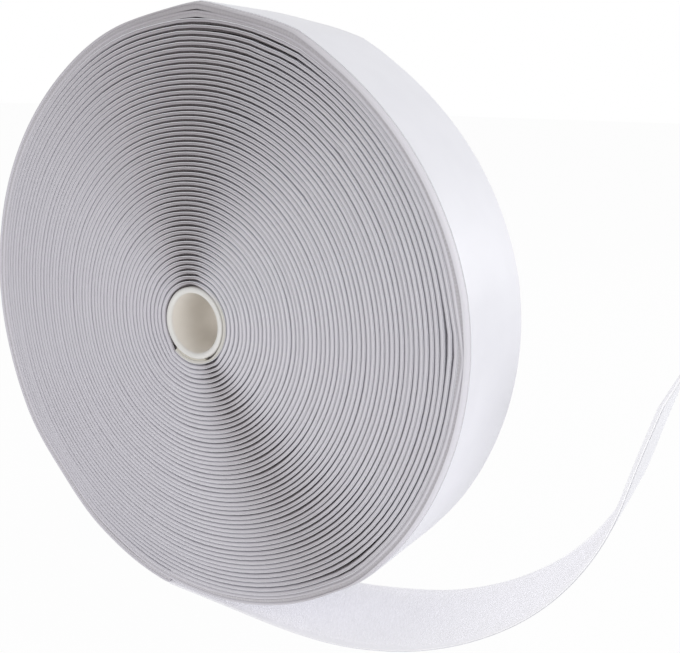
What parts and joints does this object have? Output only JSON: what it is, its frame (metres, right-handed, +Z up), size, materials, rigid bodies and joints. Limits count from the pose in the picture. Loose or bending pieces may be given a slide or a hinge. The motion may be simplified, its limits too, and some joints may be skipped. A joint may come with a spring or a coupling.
{
  "type": "hook and loop tape roll",
  "caption": "Roll of white hook fastening tape with an adhesive back and release liner, standing on its rim, with its loose end curling up beside it.",
  "frame": {"origin": "on the ground, in the resting stretch's underside, straight below the roll's axis", "axes": "+Z up, +Y along the roll's axis to the far side, +X towards the loose end"},
  "size_m": [0.3256, 0.05, 0.2578],
  "materials": {
    "core_plastic": "satin",
    "strip_adhesive": "satin",
    "woven_nylon": "matte",
    "hook_nylon": "satin",
    "tape_adhesive": "tacky",
    "liner_film": "satin"
  },
  "bodies": {
    "roll": {"core_tube": "core_plastic", "core_start_strip": "strip_adhesive", "wound_tape": "woven_nylon", "outer_turn_hooks": "hook_nylon", "outer_turn_ground": "woven_nylon", "outer_turn_adhesive": "tape_adhesive", "outer_turn_liner": "liner_film", "resting_hooks": "hook_nylon", "resting_ground": "woven_nylon", "resting_adhesive": "tape_adhesive", "resting_liner": "liner_film"},
    "lower_end": {"lower_end_hooks": "hook_nylon", "lower_end_ground": "woven_nylon", "lower_end_adhesive": "tape_adhesive", "lower_end_liner": "liner_film"},
    "upper_end": {"upper_end_hooks": "hook_nylon", "upper_end_ground": "woven_nylon", "upper_end_adhesive": "tape_adhesive", "upper_end_liner": "liner_film"},
    "peel_tab": {"liner_peel_tab": "liner_film"}
  },
  "joints": [
    {"name": "lower_flex", "type": "hinge", "parent": "roll", "child": "lower_end", "pos_m": [0.10025, 0, 0.01138], "axis": [0, -1, 0], "range_deg": [-15, 12], "stiffness_Nm_per_rad": 0.05, "springref_deg": 6.93},
    {"name": "upper_flex", "type": "hinge", "parent": "lower_end", "child": "upper_end", "pos_m": [0.16896, 0, 0.06017], "axis": [0, -1, 0], "range_deg": [-30, 20], "stiffness_Nm_per_rad": 0.03, "springref_deg": 1.49},
    {"name": "liner_peel", "type": "hinge", "parent": "upper_end", "child": "peel_tab", "pos_m": [0.18752, 0, 0.09935], "axis": [0, 1, 0], "range_deg": [0, 120]}
  ]
}
